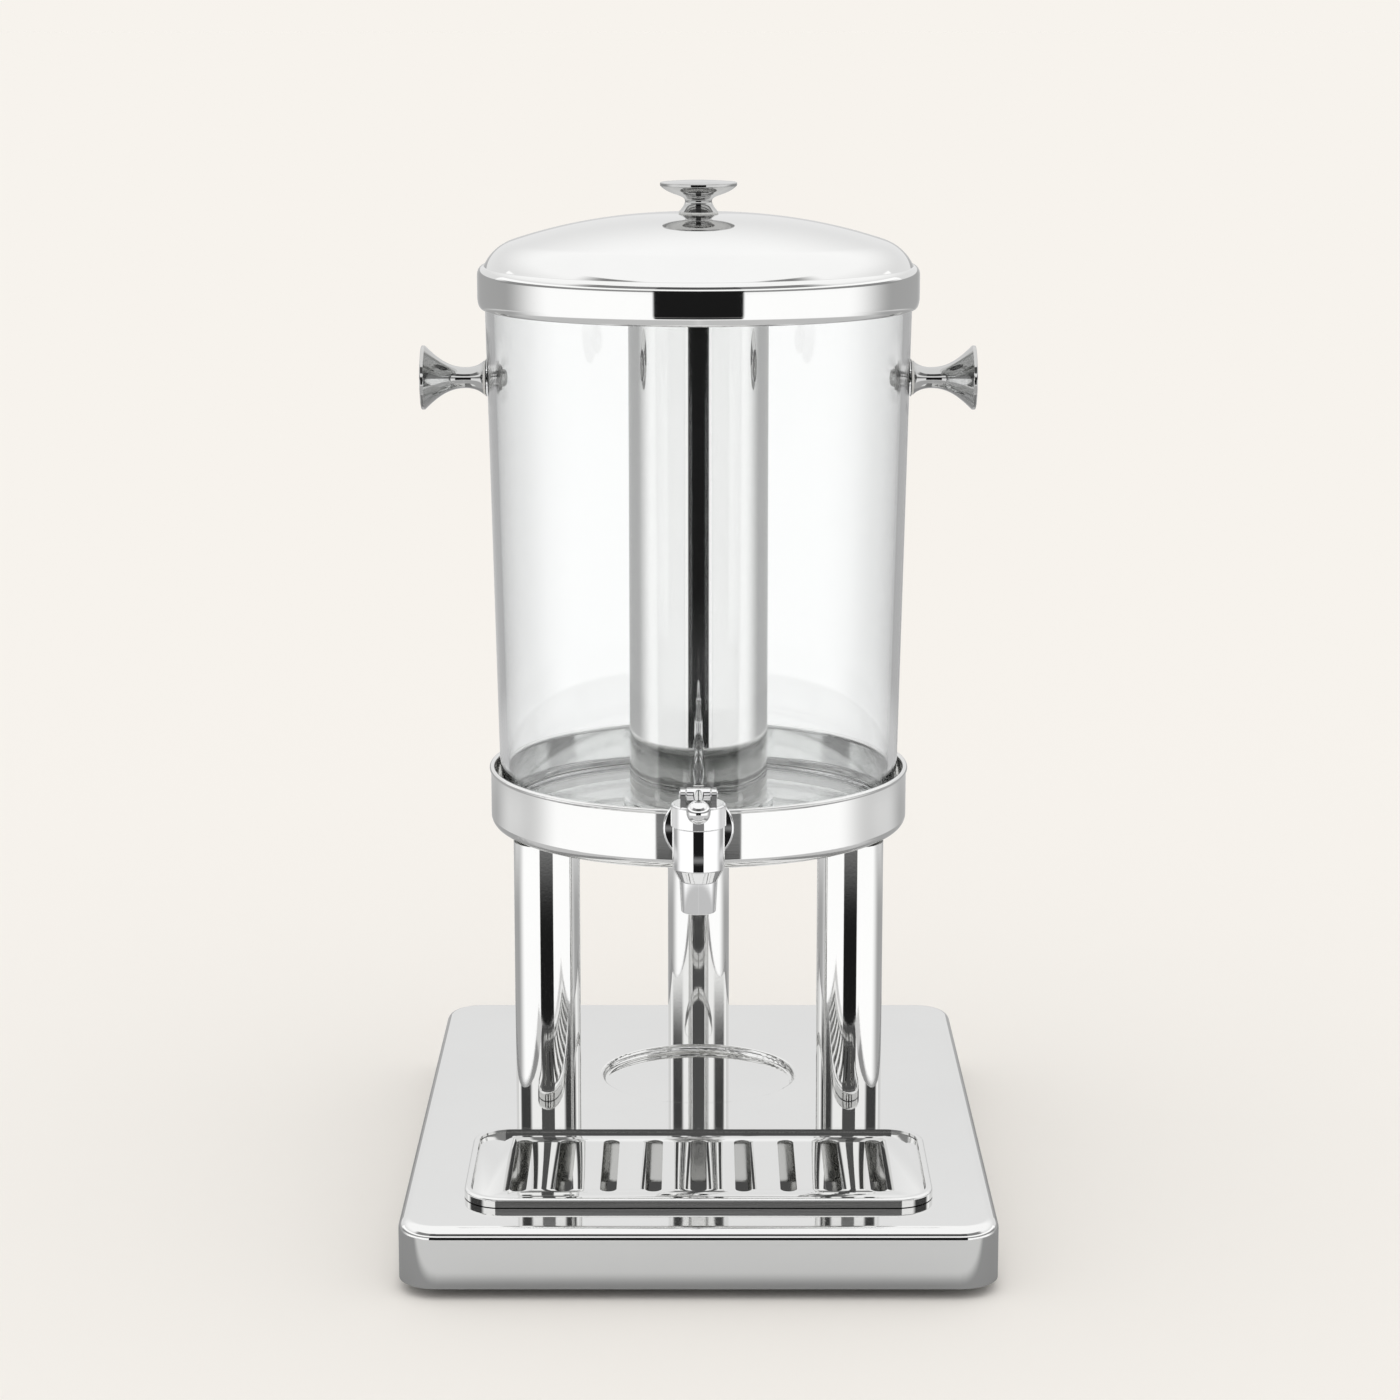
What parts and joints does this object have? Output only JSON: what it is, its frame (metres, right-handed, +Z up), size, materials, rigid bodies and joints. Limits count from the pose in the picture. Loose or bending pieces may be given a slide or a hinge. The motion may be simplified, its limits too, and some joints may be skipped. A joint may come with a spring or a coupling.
{
  "type": "juice dispenser",
  "caption": "Free-standing juice dispenser: a clear tapered tank with a steel ice tube and lid, held in a cup on legs above a drip tray, drawn off by a spring-closed lever tap.",
  "frame": {"origin": "on the table, under the middle of the base", "axes": "+Z up, -Y towards the tap and the person who draws a glass, +X to that person's right"},
  "size_m": [0.27, 0.356, 0.4837],
  "materials": {
    "polished_steel": "mirror polished stainless sheet and turnings",
    "plain_steel": "plain bright stainless fasteners and sheet",
    "chrome_brass": "bright plated",
    "clear_plastic": "clear moulded polycarbonate",
    "silicone": "soft milky silicone",
    "black_rubber": "matt"
  },
  "bodies": {
    "stand": {"base_pan": "polished_steel", "base_floor_plate": "plain_steel", "rubber_foot_front_left": "black_rubber", "rubber_foot_front_right": "black_rubber", "rubber_foot_rear_left": "black_rubber", "rubber_foot_rear_right": "black_rubber", "foot_screws": "plain_steel", "foot_nuts": "plain_steel", "leg_front_left": "polished_steel", "leg_front_right": "polished_steel", "leg_rear": "polished_steel", "leg_lower_plugs": "plain_steel", "leg_upper_plugs": "plain_steel", "leg_base_washers": "plain_steel", "leg_base_bolts": "plain_steel", "leg_cup_bolts": "plain_steel", "cup": "polished_steel", "cup_pad": "silicone"},
    "drip_tray": {"drip_tray": "polished_steel"},
    "drip_grille": {"drip_grille": "polished_steel"},
    "tank": {"tank": "clear_plastic", "handle_left": "polished_steel", "handle_right": "polished_steel", "handle_washers": "silicone", "handle_screws": "plain_steel", "tap_body": "chrome_brass", "tap_outer_gasket": "silicone", "tap_inner_gasket": "silicone", "tap_lock_nut": "chrome_brass", "tap_bonnet": "chrome_brass", "tap_lever_pin": "chrome_brass", "tap_spring": "plain_steel"},
    "tap_lever": {"tap_lever": "chrome_brass"},
    "tap_stem": {"tap_stem": "plain_steel", "tap_stem_pin": "plain_steel", "tap_seat_cup": "silicone"},
    "ice_tube": {"ice_tube": "polished_steel", "ice_tube_foot": "silicone"},
    "lid": {"lid": "polished_steel", "lid_knob": "polished_steel", "lid_knob_washer": "silicone", "lid_knob_screw": "plain_steel"}
  },
  "joints": [
    {"name": "drip_tray_lift", "type": "slide", "parent": "stand", "child": "drip_tray", "axis": [0, 0, 1], "range_m": [0, 0.06]},
    {"name": "drip_grille_lift", "type": "slide", "parent": "drip_tray", "child": "drip_grille", "axis": [0, 0, 1], "range_m": [0, 0.05]},
    {"name": "tank_lift", "type": "slide", "parent": "stand", "child": "tank", "axis": [0, 0, 1], "range_m": [0, 0.06]},
    {"name": "lever_press", "type": "hinge", "parent": "tank", "child": "tap_lever", "pos_m": [0, -0.101, 0.214], "axis": [1, 0, 0], "range_deg": [0, 22], "stiffness_Nm_per_rad": 0.2, "springref_deg": -28.65},
    {"name": "stem_lift", "type": "slide", "parent": "tank", "child": "tap_stem", "axis": [0, 0, 1], "range_m": [0, 0.0027], "deforming": ["tap_spring"]},
    {"name": "ice_tube_lift", "type": "slide", "parent": "tank", "child": "ice_tube", "axis": [0, 0, 1], "range_m": [0, 0.28]},
    {"name": "lid_lift", "type": "slide", "parent": "ice_tube", "child": "lid", "axis": [0, 0, 1], "range_m": [0, 0.08]}
  ],
  "couplings": [
    {"joint": "stem_lift", "follows": "lever_press", "m_per_rad": 0.00684}
  ]
}
